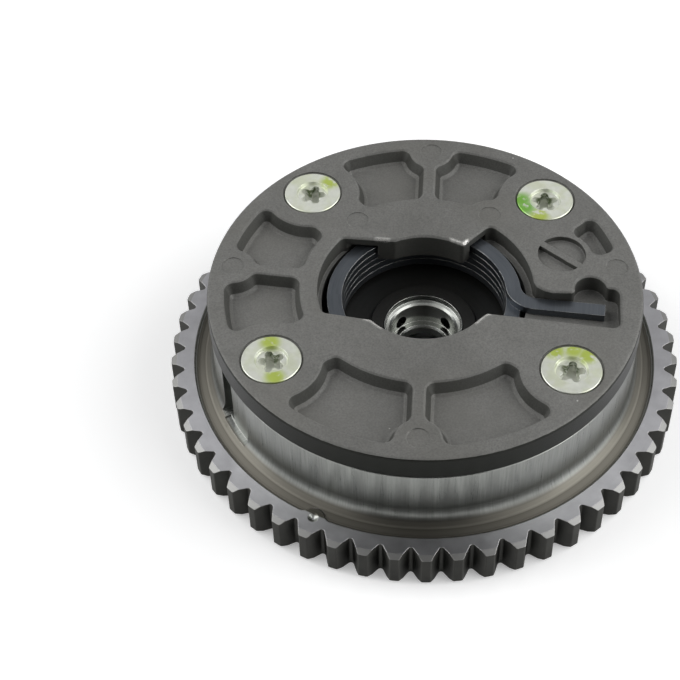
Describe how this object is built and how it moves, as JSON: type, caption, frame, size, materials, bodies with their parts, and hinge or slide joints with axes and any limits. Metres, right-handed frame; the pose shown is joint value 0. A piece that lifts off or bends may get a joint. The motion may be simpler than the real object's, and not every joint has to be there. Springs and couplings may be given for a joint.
{
  "type": "cam phaser",
  "caption": "Vane type cam phaser: toothed chain sprocket with a round housing, cast cover with screws, torsion spring and an inner rotor that turns against it.",
  "frame": {"origin": "on the turning axis, in the rear face of the sprocket and rear plate", "axes": "+Z along the turning axis from the camshaft side to the front cover; the spring leg runs towards +X; the picture looks from -Y and above"},
  "size_m": [0.1098, 0.1098, 0.0287],
  "materials": {
    "machined_sintered_steel": "machined, satin with fine upright streaks on the barrel",
    "sintered_cover": "matte dark sintered surface with bright worn corners",
    "ground_steel_plate": "ground flat",
    "dark_sintered_rotor": "matte dark sintered",
    "bright_bush": "turned bright",
    "blued_spring_steel": "blue grey rolled spring wire",
    "ground_steel_pin": "ground",
    "pressed_cap": "pressed",
    "spring_wire": "drawn wire",
    "zinc_plated_screw": "zinc plated, faint yellow green cast",
    "seal_plastic": "dark filled sealing plastic",
    "leaf_steel": "rolled strip"
  },
  "bodies": {
    "housing": {"sprocket_housing": "machined_sintered_steel", "front_cover": "sintered_cover", "rear_plate": "ground_steel_plate", "torsion_spring": "blued_spring_steel", "cover_screw_1": "zinc_plated_screw", "cover_screw_2": "zinc_plated_screw", "cover_screw_3": "zinc_plated_screw", "cover_screw_4": "zinc_plated_screw", "lock_pin_seat": "ground_steel_pin", "lobe_seal_1": "seal_plastic", "lobe_seal_2": "seal_plastic", "lobe_seal_3": "seal_plastic", "lobe_seal_4": "seal_plastic", "lobe_seal_leaf_1": "leaf_steel", "lobe_seal_leaf_2": "leaf_steel", "lobe_seal_leaf_3": "leaf_steel", "lobe_seal_leaf_4": "leaf_steel"},
    "rotor": {"rotor": "dark_sintered_rotor", "centre_bush": "bright_bush", "lock_pin_cap": "pressed_cap", "vane_seal_1": "seal_plastic", "vane_seal_2": "seal_plastic", "vane_seal_3": "seal_plastic", "vane_seal_4": "seal_plastic", "vane_seal_leaf_1": "leaf_steel", "vane_seal_leaf_2": "leaf_steel", "vane_seal_leaf_3": "leaf_steel", "vane_seal_leaf_4": "leaf_steel"},
    "lock_pin": {"lock_pin": "ground_steel_pin", "lock_pin_spring": "spring_wire"}
  },
  "joints": [
    {"name": "rotor_turn", "type": "hinge", "parent": "housing", "child": "rotor", "pos_m": [0, 0, 0], "axis": [0, 0, 1], "range_deg": [0, 30], "stiffness_Nm_per_rad": 0.5, "deforming": ["torsion_spring"]},
    {"name": "lock_pin_slide", "type": "slide", "parent": "rotor", "child": "lock_pin", "axis": [0, 0, 1], "range_m": [0, 0.001], "stiffness_N_per_m": 1500, "deforming": ["lock_pin_spring"]}
  ]
}
